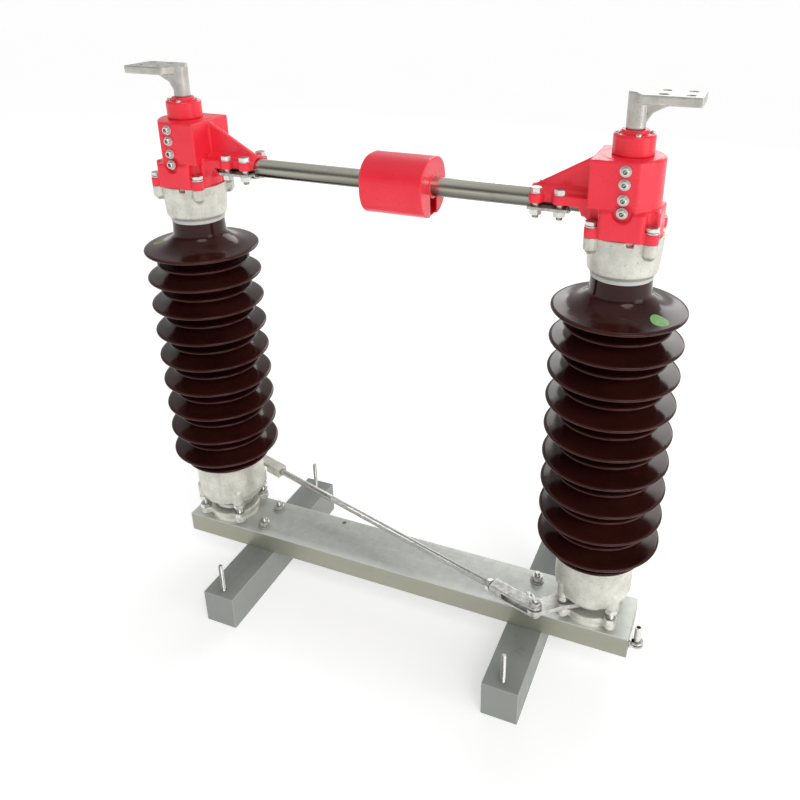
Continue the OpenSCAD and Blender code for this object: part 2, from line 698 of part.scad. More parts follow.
module terminal(side) color(ALU) handed(side) {
  pad_bot = pad_top - pad_t;
  difference() {
    union() {
      translate([0, 0, head_z + 20]) cylinder(r = shaft_r, h = collar_top + 1 - head_z - 20);
      translate([0, 0, collar_top + table_gap]) cylinder(r = stem_r, h = pad_top - collar_top - table_gap);
      translate([-pad_reach, -pad_w / 2, pad_bot]) cube([pad_reach - 8, pad_w, pad_t]);
      translate([-8 - eps, 0, pad_bot]) linear_extrude(pad_t)
        polygon([[0, -pad_w / 2], [0, pad_w / 2], [9, stem_r], [9, -stem_r]]);
      translate([0, 4, 0]) rotate([90, 0, 0]) linear_extrude(8)
        polygon([[-6, collar_top + 6], [-stem_r, collar_top + 8], [-20, pad_bot - 14],
                 [-33, pad_bot - 7], [-52, pad_bot + 1], [-6, pad_bot + 1]]);
    }
    for (x = [0, 1], y = [-1, 1])
      translate([-pad_reach + 16 + x * pad_hole_pitch, y * pad_hole_pitch / 2, pad_bot - 1])
        cylinder(d = pad_hole_d, h = pad_t + 2);
  }
}

module left_terminal() terminal(-1);
module right_terminal() terminal(1);

// ---------- cross link ----------

// puts its children on the rod's axis, pin at the origin, rod along +X
module on_rod() translate([left_pin_x - half_span, left_pin_y, rod_z]) rotate([0, 0, rod_angle]) children();

module link_rod() color(ZINC) on_rod() {
  xrod(rod_d / 2, 44, rod_span - fork_len + 22);
  translate([rod_span - fork_len - 10, 0, 0]) rotate([0, 90, 0]) hex(rod_d * 1.5, 8);
}

// left end: a block on the rod and an eye that rides above the left crank
module rod_eye() color(CAST) on_rod() {
  eye_bot = 2;
  difference() {
    union() {
      translate([30, -fork_w, -fork_h / 2]) cube([36, 2 * fork_w, fork_h]);
      translate([0, -fork_w, eye_bot]) cube([31, 2 * fork_w, fork_h / 2 - eye_bot]);
      translate([0, 0, eye_bot]) cylinder(r = fork_w, h = fork_h / 2 - eye_bot);
    }
    xrod(rod_d / 2 + fit, 43, 80);
  }
}

// right end: a fork round the right crank
module rod_fork() color(CAST) on_rod() {
  root = 24;
  slot_h = crank_t + 2;
  translate([rod_span, 0, 0]) difference() {
    union() {
      translate([-fork_len, -fork_w, -fork_h / 2]) cube([fork_len, 2 * fork_w, fork_h]);
      translate([0, 0, -fork_h / 2]) cylinder(r = fork_w, h = fork_h);
    }
    translate([-fork_len + root, -fork_w - 1, -slot_h / 2]) cube([fork_len + fork_w, 2 * fork_w + 2, slot_h]);
    xrod(rod_d / 2 + fit, -fork_len - 1, -fork_len + 23);
    translate([0, 0, -fork_h]) cylinder(d = link_pin_d + 2 * fit, h = 2 * fork_h);
  }
}

module fork_pin() color(ZINC) on_rod() translate([rod_span, 0, 0]) {
  translate([0, 0, -fork_h / 2 - 4]) cylinder(d = link_pin_d * 1.6, h = 4);
  translate([0, 0, -fork_h / 2 - 1]) cylinder(d = link_pin_d, h = fork_h + 11);
  translate([0, 0, fork_h / 2]) cylinder(d = link_pin_d * 1.9, h = 1.6);
  translate([0, 0, fork_h / 2 + 1.2]) hex(link_pin_d * 1.6, 6.5);
}

// ---------- assembly ----------

base_beam();
left_support();
right_support();
left_support_studs();
right_support_studs();
left_base_bolts();
right_base_bolts();
left_bearing();
right_bearing();
earth_terminal();
left_turntable();
left_crank();
left_flange_studs();
left_lower_flange();
left_insulator();
left_upper_flange();
left_head();
left_head_bolts();
left_tube();
left_tube_clamp();
left_clamp_bolts();
left_rotor_cap();
left_cap_screws();
contact_blade();
right_turntable();
right_crank();
right_flange_studs();
right_lower_flange();
right_insulator();
right_upper_flange();
right_head();
right_head_bolts();
right_tube();
right_tube_clamp();
right_clamp_bolts();
right_rotor_cap();
right_cap_screws();
contact_fingers();
contact_cover();
left_terminal();
right_terminal();
link_rod();
rod_eye();
rod_fork();
fork_pin();
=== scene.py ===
import json
import math

import bmesh
import bpy
from mathutils import Matrix, Vector

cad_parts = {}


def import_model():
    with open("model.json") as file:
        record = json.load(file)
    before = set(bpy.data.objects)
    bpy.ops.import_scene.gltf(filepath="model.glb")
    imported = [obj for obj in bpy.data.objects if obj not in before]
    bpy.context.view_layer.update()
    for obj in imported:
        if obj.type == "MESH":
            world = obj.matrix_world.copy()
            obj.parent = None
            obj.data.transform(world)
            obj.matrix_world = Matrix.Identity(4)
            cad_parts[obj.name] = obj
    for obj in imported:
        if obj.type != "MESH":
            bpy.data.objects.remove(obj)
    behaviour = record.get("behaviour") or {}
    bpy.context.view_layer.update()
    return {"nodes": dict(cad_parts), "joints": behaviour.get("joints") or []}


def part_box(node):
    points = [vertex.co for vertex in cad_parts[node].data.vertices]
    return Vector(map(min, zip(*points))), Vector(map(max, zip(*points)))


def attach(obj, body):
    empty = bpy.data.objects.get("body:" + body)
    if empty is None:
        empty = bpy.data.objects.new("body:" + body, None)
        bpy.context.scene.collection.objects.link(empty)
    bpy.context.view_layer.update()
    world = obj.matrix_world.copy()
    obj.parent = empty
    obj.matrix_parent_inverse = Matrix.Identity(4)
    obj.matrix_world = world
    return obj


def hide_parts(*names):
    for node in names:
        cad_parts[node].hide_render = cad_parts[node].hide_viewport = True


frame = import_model()
NODES = frame["nodes"]
MM = 0.001
SIDES = ("left", "right")
SIGN = {"left": -1, "right": 1}


# ---------- places, in millimetres, from the frame ----------

def mm_box(node):
    """A CAD node's lowest and highest corners."""
    lo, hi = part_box(node)
    return lo / MM, hi / MM


def middle(node):
    """The centre of a CAD node's box."""
    lo, hi = mm_box(node)
    return (lo + hi) / 2


def joint_place(name):
    """Where a joint's axis is, as a vector."""
    return next(Vector(j["pos_m"]) / MM for j in frame["joints"] if j["name"] == name)


AXIS = {side: middle(side + "_rotor_cap").x for side in SIDES}
BEAM_END, _, BEAM_TOP = mm_box("base_beam")[1]
PORC_Z = mm_box("left_lower_flange")[1].z
PORC_TOP, HEAD_Z = (corner.z for corner in mm_box("left_upper_flange"))
CAP_COLLAR = 5.5
CAP_TOP = mm_box("left_rotor_cap")[1].z - CAP_COLLAR
TUBE_LO, TUBE_HI = mm_box("left_tube")
TUBE_Z, TUBE_R = (TUBE_LO.z + TUBE_HI.z) / 2, (TUBE_HI.z - TUBE_LO.z) / 2
TUBE_WALL = 3
TUBE_START = 50
BOLT_CIRCLE_R = 55
EDGE_BAND = 1.2
M8_PITCH, M10_PITCH, M12_PITCH = 1.25, 1.5, 1.75

# The porcelain's outline: large and small sheds by turns, on a core that widens downwards.
SHED_PAIRS = 9
SHED_PAIR_PITCH = 48.2
FIRST_SHED_Z = PORC_TOP - 54
SHED_R = (94, 76)
SHED_SLOPE = 0.42
RIM_R = 2.5
CORE_R = 42
CORE_WIDENS = 8


# ---------- materials ----------

def colour_ramp(tree, fac, stops):
    """A ramp through stops of (position, colour or grey level)."""
    node = tree.nodes.new("ShaderNodeValToRGB")
    tree.links.new(fac, node.inputs[0])
    ends = node.color_ramp.elements
    while len(ends) < len(stops):
        ends.new(0.5)
    for end, (position, colour) in zip(ends, stops):
        end.position = position
        end.color = (*colour, 1) if isinstance(colour, tuple) else (colour,) * 3 + (1,)
    return node.outputs[0]


class Look:
    """A Principled material on object coordinates, which are metres in the row frame."""

    def __init__(self, name, **sockets):
        self.mat = bpy.data.materials.new(name)
        self.mat.use_nodes = True
        self.tree = self.mat.node_tree
        self.bsdf = self.tree.nodes["Principled BSDF"]
        for key, value in sockets.items():
            self.bsdf.inputs[key.replace("_", " ")].default_value = value
        self.place = self.tree.nodes.new("ShaderNodeTexCoord").outputs["Object"]

    def put(self, socket, value):
        if isinstance(value, bpy.types.NodeSocket):
            self.tree.links.new(value, socket)
        else:
            socket.default_value = value

    def stretched(self, x, y, z):
        n = self.tree.nodes.new("ShaderNodeMapping")
        self.put(n.inputs["Vector"], self.place)
        n.inputs["Scale"].default_value = (x, y, z)
        return n.outputs[0]

    def noise(self, scale, detail=3.0, rough=0.55, at=None):
        n = self.tree.nodes.new("ShaderNodeTexNoise")
        self.put(n.inputs["Vector"], at or self.place)
        for key, value in (("Scale", scale), ("Detail", detail), ("Roughness", rough)):
            n.inputs[key].default_value = value
        return n.outputs[0]

    def cells(self, scale):
        n = self.tree.nodes.new("ShaderNodeTexVoronoi")
        self.put(n.inputs["Vector"], self.place)
        n.inputs["Scale"].default_value = scale
        return n.outputs["Color"]

    def ramp(self, fac, *stops):
        return colour_ramp(self.tree, fac, stops)

    def mix(self, fac, a, b, kind="MIX"):
        n = self.tree.nodes.new("ShaderNodeMix")
        n.data_type, n.blend_type = "RGBA", kind
        self.put(n.inputs[0], fac)
        for slot, value in ((6, a), (7, b)):
            self.put(n.inputs[slot], (*value, 1) if isinstance(value, tuple) else value)
        return n.outputs[2]

    def math(self, op, a, b):
        n = self.tree.nodes.new("ShaderNodeMath")
        n.operation = op
        self.put(n.inputs[0], a)
        self.put(n.inputs[1], b)
        return n.outputs[0]

    def edges(self, low=0.51, high=0.58):
        """1 on outer edges, 0 on flats."""
        n = self.tree.nodes.new("ShaderNodeNewGeometry")
        return self.ramp(n.outputs["Pointiness"], (low, 0.0), (high, 1.0))

    def hollows(self, low=0.42, high=0.49):
        """1 in inner corners, 0 on flats."""
        n = self.tree.nodes.new("ShaderNodeNewGeometry")
        return self.ramp(n.outputs["Pointiness"], (low, 1.0), (high, 0.0))

    def height(self):
        n = self.tree.nodes.new("ShaderNodeSeparateXYZ")
        self.put(n.inputs[0], self.place)
        return n.outputs[2]

    def bump(self, height, strength, depth, under=None):
        n = self.tree.nodes.new("ShaderNodeBump")
        self.put(n.inputs["Height"], height)
        n.inputs["Strength"].default_value = strength
        n.inputs["Distance"].default_value = depth
        if under:
            self.put(n.inputs["Normal"], under)
        return n.outputs[0]

    def finish(self, colour, rough, normal):
        self.put(self.bsdf.inputs["Base Color"], colour)
        self.put(self.bsdf.inputs["Roughness"], rough)
        self.put(self.bsdf.inputs["Normal"], normal)
        return self.mat


def porcelain():
    """Brown glaze, thin and pale on the rims, with specks of dust."""
    k = Look("porcelain_glaze", IOR=1.5, Specular_IOR_Level=0.26)
    tone = k.ramp(k.noise(11, 5), (0.32, (0.024, 0.0050, 0.0040)), (0.7, (0.046, 0.0105, 0.0080)))
    tone = k.mix(k.edges(0.52, 0.62), tone, (0.095, 0.026, 0.020))
    dust = k.ramp(k.noise(420, 2), (0.62, 0.0), (0.74, 0.35))
    tone = k.mix(dust, tone, (0.05, 0.035, 0.028))
    rough = k.ramp(k.noise(34, 4), (0.35, 0.10), (0.72, 0.19))
    wave = k.bump(k.noise(60, 2), 0.10, 0.0006)
    return k.finish(tone, rough, k.bump(k.noise(900, 2), 0.05, 0.0001, wave))


def red_enamel():
    """Red paint over a casting, rubbed on its edges, with painted shade darkening its inner corners."""
    k = Look("red_enamel", IOR=1.5, Specular_IOR_Level=0.42)
    tone = k.ramp(k.noise(22, 4), (0.3, (0.94, 0.026, 0.052)), (0.72, (1.0, 0.036, 0.066)))
    tone = k.mix(k.edges(0.53, 0.66), tone, (0.88, 0.12, 0.15))
    # painted shade: inner corners darkened
    tone = k.mix(k.math("MULTIPLY", k.hollows(), 0.5), tone, (0.30, 0.010, 0.018))
    grime = k.ramp(k.noise(95, 5, 0.65), (0.6, 0.0), (0.8, 0.28))
    tone = k.mix(grime, tone, (0.42, 0.05, 0.05))
    rough = k.ramp(k.noise(48, 4), (0.3, 0.24), (0.75, 0.40))
    cast = k.bump(k.noise(90, 3), 0.16, 0.0012)
    return k.finish(tone, rough, k.bump(k.noise(620, 2), 0.12, 0.0002, cast))


def galvanised():
    """Galvanised sheet with streaks along the channel; its sides are painted darker and warmer than its top,
    as painted shade.
    """
    k = Look("galvanised_steel", Metallic=0.5, IOR=1.5, Specular_IOR_Level=0.25)
    spangle = k.ramp(k.cells(120), (0.1, (0.28, 0.305, 0.27)), (0.9, (0.39, 0.42, 0.375)))
    streak = k.ramp(k.noise(3.0, 6, 0.6, k.stretched(1, 14, 14)), (0.32, 0.72), (0.68, 1.12))
    tone = k.mix(1.0, spangle, streak, "MULTIPLY")
    stain = k.ramp(k.noise(17, 6, 0.66), (0.52, 0.0), (0.74, 0.55))
    tone = k.mix(stain, tone, (0.19, 0.20, 0.17))
    tone = k.mix(k.ramp(k.noise(9, 5, 0.6), (0.56, 0.0), (0.7, 0.4)), tone, (0.50, 0.53, 0.49))
    tone = k.mix(k.edges(), tone, (0.80, 0.82, 0.78))
    # painted shade: everything below the top's edge band, the channel's sides, is darkened and warmed
    side = k.math("MULTIPLY", k.math("LESS_THAN", k.height(), (BEAM_TOP - EDGE_BAND) * MM), 0.85)
    tone = k.mix(side, tone, k.mix(1.0, tone, (0.50, 0.48, 0.39), "MULTIPLY"))
    rough = k.ramp(k.noise(40, 5, 0.65), (0.3, 0.30), (0.75, 0.52))
    scratch = k.bump(k.noise(30, 4, 0.6, k.stretched(1, 22, 22)), 0.14, 0.0004)
    return k.finish(tone, rough, k.bump(k.noise(330, 3), 0.10, 0.0003, scratch))


def grey_paint():
    """Matt grey paint with scuffs and worn edges."""
    k = Look("grey_paint", IOR=1.45, Specular_IOR_Level=0.4)
    tone = k.ramp(k.noise(12, 5), (0.3, (0.150, 0.164, 0.152)), (0.72, (0.200, 0.217, 0.202)))
    tone = k.mix(k.ramp(k.noise(140, 4, 0.7), (0.6, 0.0), (0.78, 0.35)), tone, (0.26, 0.28, 0.255))
    tone = k.mix(k.edges(0.505, 0.56), tone, (0.40, 0.42, 0.39))
    tone = k.mix(k.ramp(k.noise(26, 6, 0.7), (0.62, 0.0), (0.72, 0.4)), tone, (0.13, 0.135, 0.12))
    rough = k.ramp(k.noise(60, 4), (0.3, 0.42), (0.7, 0.60))
    return k.finish(tone, rough, k.bump(k.noise(480, 3), 0.16, 0.0003))


def plated(name, light, dark, low=0.24, high=0.46, metal=0.9):
    """Turned or plated steel, with dull patches, worn edges and painted shade darkening its inner corners.
    """
    k = Look(name, Metallic=metal)
    tone = k.ramp(k.noise(130, 5, 0.6), (0.34, dark), (0.62, light))
    tone = k.mix(k.edges(), tone, (0.80, 0.80, 0.76))
    # painted shade: inner corners darkened
    tone = k.mix(k.hollows(), tone, tuple(c * 0.3 for c in dark))
    rough = k.ramp(k.noise(240, 4), (0.3, low), (0.75, high))
    return k.finish(tone, rough, k.bump(k.noise(900, 3), 0.12, 0.0002))


def cast_metal(name, light, dark, metal, low, high, grain, depth):
    """Rough casting under a thin zinc paint, with dirt in fine specks, rain stains, and painted shade
    darkening its inner corners.
    """
    k = Look(name, Metallic=metal)
    tone = k.ramp(k.noise(34, 5, 0.6), (0.34, dark), (0.66, light))
    drip = k.ramp(k.noise(40, 5, 0.65, k.stretched(1, 1, 0.28)), (0.54, 0.0), (0.76, 0.5))
    tone = k.mix(drip, tone, tuple(c * 0.62 for c in dark))
    tone = k.mix(k.ramp(k.noise(260, 3, 0.6), (0.60, 0.0), (0.70, 0.6)), tone, tuple(c * 0.5 for c in dark))
    tone = k.mix(k.edges(0.52, 0.62), tone, tuple(min(1, c * 1.25) for c in light))
    # painted shade: inner corners darkened
    tone = k.mix(k.math("MULTIPLY", k.hollows(), 0.75), tone, (0.10, 0.085, 0.07))
    rough = k.ramp(k.noise(90, 4), (0.3, low), (0.75, high))
    pits = k.bump(k.noise(grain, 4, 0.65), 0.45, depth)
    return k.finish(tone, rough, k.bump(k.noise(70, 2), 0.25, 0.002, pits))


def tube_metal():
    """Tinned tube, painted darker below its axis and brighter on its upper side, as painted shade and
    painted highlight.
    """
    k = Look("tinned_tube", Metallic=1.0)
    brushed = k.noise(5, 4, 0.5, k.stretched(1, 26, 26))
    tone = k.ramp(brushed, (0.3, (0.34, 0.33, 0.275)), (0.7, (0.52, 0.51, 0.44)))
    tone = k.mix(k.ramp(k.noise(30, 5, 0.65), (0.6, 0.0), (0.78, 0.45)), tone, (0.24, 0.23, 0.19))
    # painted shade and painted highlight: the tube's colour is scaled from dark on its underside to bright
    # on its top
    above_axis = k.math("SUBTRACT", k.height(), TUBE_Z * MM)
    rise = k.math("ADD", k.math("MULTIPLY", above_axis, 0.5 / (TUBE_R * MM)), 0.5)
    tone = k.mix(1.0, tone, k.ramp(rise, (0.30, 0.42), (0.72, 1.35)), "MULTIPLY")
    rough = k.ramp(k.noise(12, 4, 0.6, k.stretched(1, 12, 12)), (0.3, 0.16), (0.75, 0.30))
    return k.finish(tone, rough, k.bump(k.noise(16, 4, 0.6, k.stretched(1, 70, 70)), 0.10, 0.0003))


def sticker(name, colour):
    """A printed label's smooth, slightly uneven face."""
    k = Look(name, IOR=1.45)
    tone = k.ramp(k.noise(300, 3), (0.35, tuple(c * 0.75 for c in colour)), (0.65, colour))
    rough = k.ramp(k.noise(160, 2), (0.3, 0.35), (0.7, 0.5))
    return k.finish(tone, rough, k.bump(k.noise(500, 2), 0.1, 0.0001))


GLAZE = porcelain()
RED = red_enamel()
GALV = galvanised()
PAINT = grey_paint()
ZINC = plated("zinc_plate", (0.56, 0.56, 0.53), (0.33, 0.33, 0.31))
# dark material used only for the painted shade discs under the base bolts
BOLT_FOOT_SHADE = plated("bolt_foot_shade", (0.20, 0.19, 0.18), (0.10, 0.095, 0.09), 0.4, 0.6, 0.7)
FLANGE = cast_metal("cast_flange", (0.80, 0.79, 0.71), (0.60, 0.59, 0.52), 0.5, 0.32, 0.50, 420, 0.0005)
ALU = cast_metal("cast_aluminium", (0.66, 0.655, 0.60), (0.47, 0.465, 0.425), 0.6, 0.32, 0.48, 520, 0.0004)
TUBE = tube_metal()
PUTTY = plated("joint_putty", (0.035, 0.032, 0.028), (0.018, 0.016, 0.014), 0.55, 0.8, 0.0)
COPPER = plated("contact_copper", (0.72, 0.42, 0.24), (0.52, 0.27, 0.15), 0.18, 0.36)


# ---------- geometry ----------

def steps_round(n):
    """n equal steps round a circle, in radians."""
    return [2 * math.pi * j / n for j in range(n)]


def new_object(name, data):
    obj = bpy.data.objects.new(name, data)
    bpy.context.scene.collection.objects.link(obj)
    return obj


def as_object(bm, name):
    """Turns an edit mesh into an object, and frees it."""
    mesh = bpy.data.meshes.new(name)
    bm.to_mesh(mesh)
    bm.free()
    return new_object(name, mesh)


def settle(obj, look, body, nodes, sharp=None):
    """Shades a piece, gives it its material and ties it to the frame."""
    obj.data.materials.clear()
    obj.data.materials.append(look)
    obj.data.polygons.foreach_set("use_smooth", [True] * len(obj.data.polygons))
    if sharp:
        obj.data.set_sharp_from_angle(angle=math.radians(sharp))
    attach(obj, body)
    if nodes:
        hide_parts(*nodes)


class Form:
    """Gathers closed shells in millimetres under a placing matrix, and makes one piece of them."""

    def __init__(self, place=None):
        self.points, self.faces, self.place = [], [], place or Matrix()

    def at(self, x=0, y=0, z=0, turn=None):
        """The same form, drawn about another place."""
        f = Form(self.place @ Matrix.Translation((x, y, z)) @ (turn or Matrix()))
        f.points, f.faces = self.points, self.faces
        return f

    def rings(self, rings, loop=False):
        """A skin over rings of points, closed by a cap at each end or by joining the ends."""
        first, n, rows = len(self.points), len(rings[0]), len(rings)
        for ring in rings:
            self.points.extend(self.place @ Vector(p) for p in ring)
        for i in range(rows if loop else rows - 1):
            a, b = first + i * n, first + (i + 1) % rows * n
            self.faces.extend((a + j, a + (j + 1) % n, b + (j + 1) % n, b + j) for j in range(n))
        if not loop:
            self.faces.append(tuple(range(first, first + n)))
            self.faces.append(tuple(range(first + (rows - 1) * n, first + rows * n)))

    def lathe(self, profile, n=32, loop=False):
        """Turns (radius, height) points about the local Z axis."""
        round_once = steps_round(n)
        self.rings([[(r * math.cos(t), r * math.sin(t), z) for t in round_once] for r, z in profile], loop)

    def disc(self, r, z0, z1, soft=0.4, n=32):
        """A washer, pin or rod with rounded rims."""
        self.lathe([(r - soft, z0), (r - soft * 0.3, z0 + soft * 0.3), (r, z0 + soft), (r, z1 - soft),
                    (r - soft * 0.3, z1 - soft * 0.3), (r - soft, z1)], n)

    def collar(self, r0, r1, z0, z1, soft, n):
        """A ring with a bore."""
        self.lathe([(r0, z0), (r1 - soft, z0), (r1, z0 + soft), (r1, z1 - soft), (r1 - soft, z1), (r0, z1)],
                   n, loop=True)

    def hexagon(self, flats, z0, z1, turn, under=False):
        """A nut or bolt head with its upper corners turned away, and its lower ones too if under is set."""
        n, round_r = 48, flats * 0.478
        angles = [turn + t for t in steps_round(n)]
        corner_r = [flats / 2 / math.cos((a - turn) % (math.pi / 3) - math.pi / 6) for a in angles]
        corner_r = [min(r, flats * 0.569) for r in corner_r]
        cut = [max(0.0, r - round_r) * 0.55 for r in corner_r]

        def ring(radii, heights):
            return [(r * math.cos(a), r * math.sin(a), z) for a, r, z in zip(angles, radii, heights)]

        foot = [ring(corner_r, [z0] * n)]
        if under:
            foot = [ring([round_r] * n, [z0] * n), ring(corner_r, [z0 + c for c in cut])]
        self.rings(foot + [ring(corner_r, [z1 - c for c in cut]), ring([round_r] * n, [z1] * n),
                           ring([round_r * 0.93] * n, [z1 + 0.05] * n)])

    def thread(self, d, z0, z1, pitch, tip, n=18, rows_a_turn=6):
        """A rod with a helical thread and a turned tip at its upper end."""
        rows = max(2, int((z1 - z0) / pitch * rows_a_turn))
        rings = []
        for i in range(rows + 1):
            z = z0 + (z1 - z0) * i / rows
            deep = min(pitch * 0.5, max(0.0, z - z0) * 2)
            cap = d / 2 - max(0.0, tip - (z1 - z))
            ring = []
            for j, a in enumerate(steps_round(n)):
                wave = abs(((z - z0) / pitch - j / n) % 1.0 * 2 - 1)
                r = min(d / 2 - deep * wave, cap)
                ring.append((r * math.cos(a), r * math.sin(a), z))
            rings.append(ring)
        self.rings(rings)

    def bar(self, path, width, thick, soft, up=(0, 0, 1)):
        """A flat bar of rounded section along a path of points."""
        w, h, s = width / 2, thick / 2, min(soft, thick / 2.2)
        section = [(w - s, -h), (w - s * 0.3, -h + s * 0.3), (w, -h + s)]
        section += [(x, -y) for x, y in reversed(section)]
        section += [(-x, -y) for x, y in section]
        pts = [Vector(p) for p in path]
        rings = []
        for i, p in enumerate(pts):
            ahead = (pts[min(i + 1, len(pts) - 1)] - pts[max(i - 1, 0)]).normalized()
            side = ahead.cross(Vector(up)).normalized()
            top = side.cross(ahead)
            rings.append([p + side * x + top * y for x, y in section])
        self.rings(rings)

    def pipe(self, path, r, n, closed=False):
        """A round rod along a path of points."""
        pts = [Vector(p) for p in path]
        rings, side = [], None
        for i, p in enumerate(pts):
            before = pts[(i - 1) % len(pts)] if closed else pts[max(i - 1, 0)]
            after = pts[(i + 1) % len(pts)] if closed else pts[min(i + 1, len(pts) - 1)]
            ahead = (after - before).normalized()
            side = ahead.orthogonal() if side is None else side - ahead * side.dot(ahead)
            side.normalize()
            top = ahead.cross(side)
            rings.append([p + (side * math.cos(t) + top * math.sin(t)) * r for t in steps_round(n)])
        self.rings(rings, closed)

    def piece(self, name, look, body, slot, *nodes, sharp=32):
        """Makes the piece, which stands for the CAD nodes named."""
        bm = bmesh.new()
        verts = [bm.verts.new(p * MM) for p in self.points]
        for face in self.faces:
            bm.faces.new([verts[i] for i in face])
        bmesh.ops.recalc_face_normals(bm, faces=bm.faces)
        settle(as_object(bm, name), look, body, nodes, sharp)


def cad_copy(node):
    """An own mesh in the shape of a CAD node."""
    bm = bmesh.new()
    bm.from_mesh(NODES[node].data)
    bmesh.ops.remove_doubles(bm, verts=bm.verts, dist=1e-6)
    bmesh.ops.dissolve_limit(bm, angle_limit=math.radians(0.6), verts=bm.verts, edges=bm.edges)
    return bm


def apply_all(obj):
    """Puts the modifiers into the mesh."""
    dg = bpy.context.evaluated_depsgraph_get()
    mesh = bpy.data.meshes.new_from_object(obj.evaluated_get(dg))
    obj.modifiers.clear()
    obj.data = mesh


def cast(node, look, body, slot, voxel, passes, keep):
    """A casting: the CAD shape with every edge and corner rounded as poured metal is."""
    obj = as_object(cad_copy(node), node + "_casting")
    skin = obj.modifiers.new("skin", "REMESH")
    skin.mode, skin.voxel_size = "VOXEL", voxel * MM
    soften = obj.modifiers.new("soften", "SMOOTH")
    soften.factor, soften.iterations = 0.5, passes
    obj.modifiers.new("thin", "DECIMATE").ratio = keep
    apply_all(obj)
    settle(obj, look, body, (node,))


def softened(node, look, body, width, steps=2):
    """A rolled, cut or machined piece: the CAD shape with small rounds on its edges."""
    bm = cad_copy(node)
    corner = math.radians(28)
    edges = [e for e in bm.edges if len(e.link_faces) == 2 and e.calc_face_angle(0) > corner]
    bmesh.ops.bevel(bm, geom=edges, offset=width * MM, segments=steps, profile=0.6, affect="EDGES",
                    clamp_overlap=False)
    obj = as_object(bm, node + "_soft")
    obj.data.polygons.foreach_set("use_smooth", [True] * len(obj.data.polygons))
    obj.modifiers.new("flat", "WEIGHTED_NORMAL").keep_sharp = True
    apply_all(obj)
    settle(obj, look, body, (node,))


def on_axis(side):
    """A form about a post's axis."""
    return Form().at(AXIS[side])


def handed(side):
    """A form about a post's axis, turned half way round on the right-hand one."""
    turn = Matrix.Rotation(math.pi, 4, "Z") if side == "right" else Matrix()
    return Form(Matrix.Translation((AXIS[side], 0, 0)) @ turn)


def flange_corners():
    """Where the four bolts of a post's flanges are."""
    angles = [math.radians(a) for a in (45, 135, 225, 315)]
    return [(BOLT_CIRCLE_R * math.cos(a), BOLT_CIRCLE_R * math.sin(a)) for a in angles]


TO_X = Matrix.Rotation(math.pi / 2, 4, "Y")
UPSIDE_DOWN = Matrix.Rotation(math.pi, 4, "X")


# ---------- base ----------

def support_studs(side):
    lo, hi = mm_box(side + "_support_studs")
    inset, foot = 5.9, 60
    f = Form()
    for y in (lo.y + inset, hi.y - inset):
        f.at((lo.x + hi.x) / 2, y).thread(8, foot, hi.z, M8_PITCH, tip=1.2)
    f.piece(side + "_stud_rods", ZINC, "base", "zinc", side + "_support_studs")


def base_bolts(side):
    """Two bolts from the support through the channel, with a nut and a washer each, and a dark disc under
    each as painted shade and painted dark reflection.
    """
    x, top, from_middle = middle(side + "_base_bolts").x, mm_box(side + "_base_bolts")[1].z, 26
    f, dark = Form(), Form()
    for k, y in enumerate((-from_middle, from_middle)):
        g = f.at(x, y, BEAM_TOP)
        g.hexagon(flats=17, z0=4.0, z1=11.2, turn=0.3 + k)
        g.thread(10, 0, top - BEAM_TOP, M10_PITCH, tip=1.4)
        g.disc(r=8.6, z0=2.4, z1=4.2, soft=0.5)
        # painted shade: a dark disc round each bolt's foot, standing in for its shadow and dark reflection
        # on the channel
        dark.at(x, y, BEAM_TOP).disc(r=12, z0=0.05, z1=2.5, soft=0.5)
    f.piece(side + "_base_bolt_set", ZINC, "base", "zinc", side + "_base_bolts")
    dark.piece(side + "_base_bolt_shade_discs", BOLT_FOOT_SHADE, "base", "zinc")


def bearing(side):
    """The bearing's flange on the channel, and its neck below."""
    lo, hi = mm_box(side + "_bearing")
    bore, neck, rim, thick = 20.3, 32, 44, 8
    f = on_axis(side)
    f.lathe([(bore, hi.z - thick - 1), (rim, hi.z - thick), (rim, hi.z - 1.5), (rim - 1.2, hi.z - 0.4),
             (rim - 4, hi.z - 0.1), (bore, hi.z)], 64, loop=True)
    under = hi.z - thick - 0.5
    f.lathe([(bore, lo.z), (neck - 1, lo.z), (neck, lo.z + 1), (neck, under), (bore, under)], 64, loop=True)
    f.piece(side + "_bearing_flange", FLANGE, "base", "cast_flange", side + "_bearing")


softened("base_beam", GALV, "base", 1.0)

for side in SIDES:
    softened(side + "_support", PAINT, "base", 1.4, 3)
    support_studs(side)
    base_bolts(side)
    bearing(side)


# ---------- feet, flanges and porcelain ----------

def shed_top(z, r, core, q):
    """Height of a shed's hollow upper face at radius q, for a rim at height z and radius r."""
    flat = r - 1.6
    span = flat - core
    inward = max(0.0, (flat - q) / span)
    rise = (r - core) * SHED_SLOPE + 1.15
    return z + 2.35 + 0.10 * span * inward + (rise - 0.10 * span) * inward ** 3.5


def core_r(z):
    return CORE_R + CORE_WIDENS * (PORC_TOP - z) / (PORC_TOP - PORC_Z)


def shed_outline(z, r, above):
    """One shed's outline from the core down to the core; above is the height of the last point before it."""
    core, low, rim = core_r(z), z - RIM_R, r - RIM_R
    top = z + (r - core) * SHED_SLOPE + 3.5
    out = []
    if above > top + 5:
        out.append((core, top + 5))
        above = top + 5
    out.append((core + 0.3, min(top + 1.6, above - 0.4)))
    for k in (0.03, 0.08, 0.15, 0.24, 0.36, 0.5, 0.66, 0.82, 0.94):
        q = core + (rim - 0.1 - core) * k
        out.append((q, shed_top(z, r, core, q)))
    for a in (62, 35, 8, -20, -50, -80):
        out.append((rim + RIM_R * math.cos(math.radians(a)), z + RIM_R * math.sin(math.radians(a))))
    for k in (0.12, 0.4, 0.7, 0.9):
        hollow = 0.06 * (r - core) * k + 0.9 * math.sin(math.pi * k)
        out.append((rim - (rim - core - 4) * k, low + hollow))
    return out + [(core + 1.2, low - 1.6), (core, low - 4.2)]


